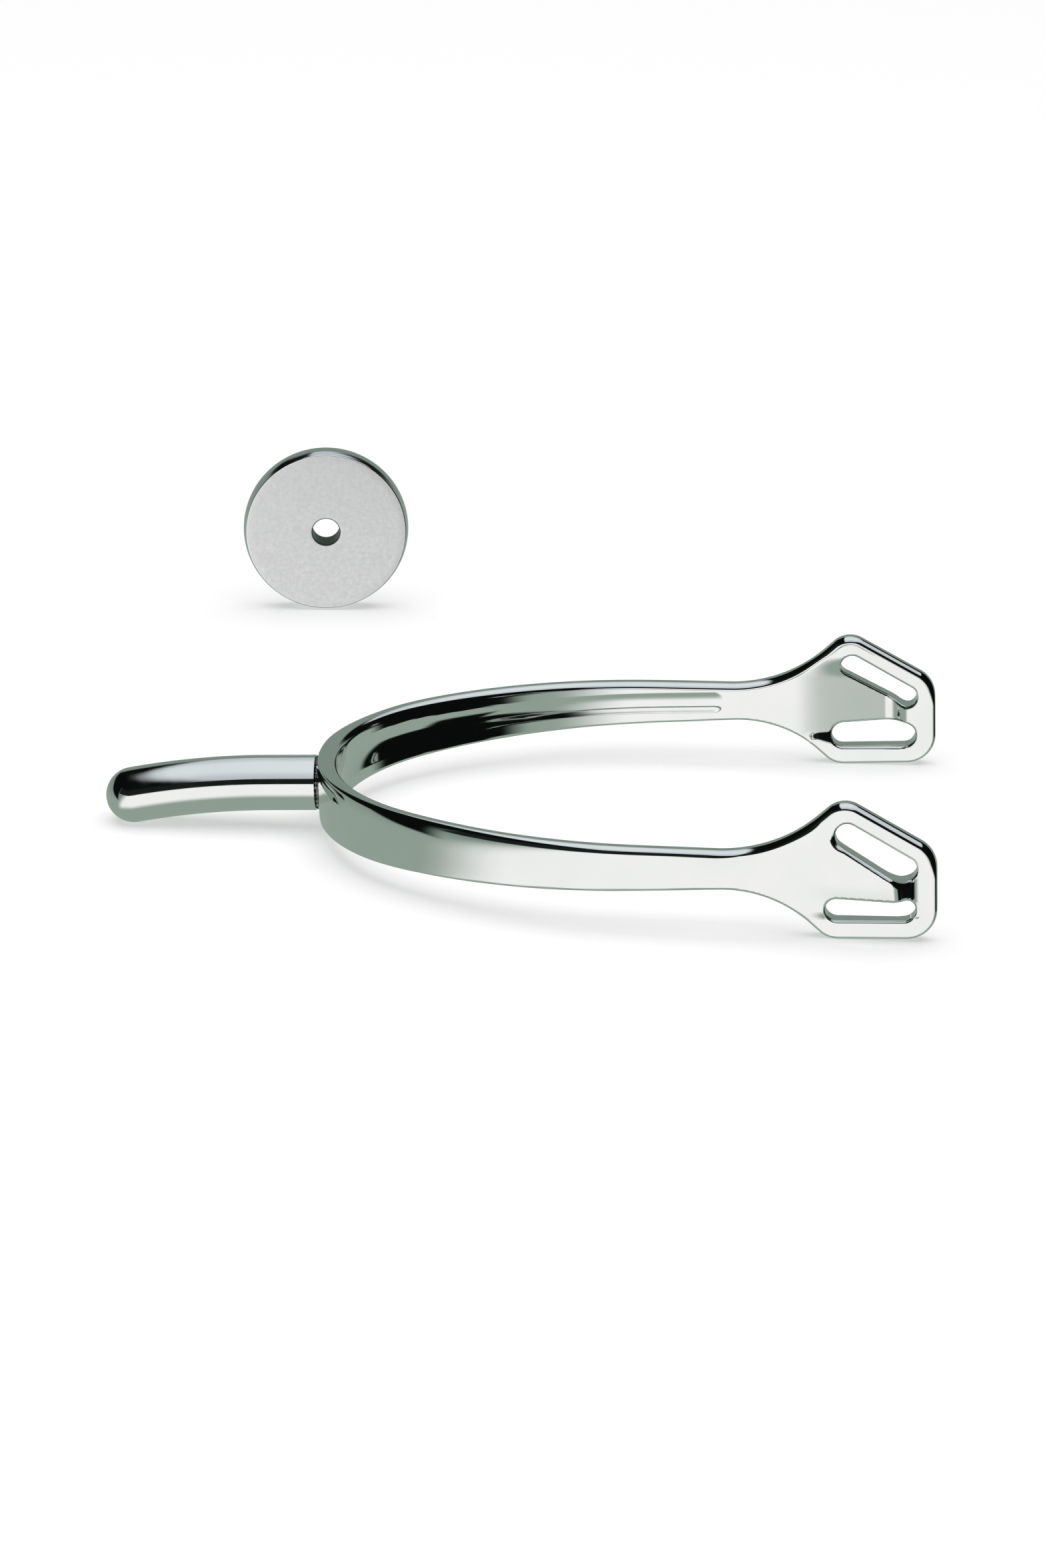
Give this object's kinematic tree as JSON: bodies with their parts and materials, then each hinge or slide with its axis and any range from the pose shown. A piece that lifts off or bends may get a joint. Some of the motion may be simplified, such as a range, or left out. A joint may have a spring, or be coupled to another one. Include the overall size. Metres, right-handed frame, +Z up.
{
  "type": "riding spur",
  "caption": "Polished steel riding spur: U-shaped heel band, slotted strap plates and a rounded neck that curves down, with its loose smooth rowel disc.",
  "frame": {"origin": "middle of the footprint of the spur and its rowel, on the surface they stand on", "axes": "+X from the tip of the neck to the strap plates, +Y to the spur's left, towards the rowel that stands beside it, +Z up"},
  "size_m": [0.1376, 0.1638, 0.0301],
  "materials": {
    "polished_steel": "mirror polished stainless steel",
    "braze": "brazing filler, as cast",
    "satin_steel": "fine satin faces, polished rim"
  },
  "bodies": {
    "spur": {"heel_band": "polished_steel", "neck": "polished_steel", "braze_ring": "braze"},
    "rowel": {"rowel_disc": "satin_steel"}
  },
  "joints": [
    {"name": "rowel_lift", "type": "slide", "parent": "spur", "child": "rowel", "axis": [0, 0, 1], "range_m": [0, 0.04]}
  ]
}
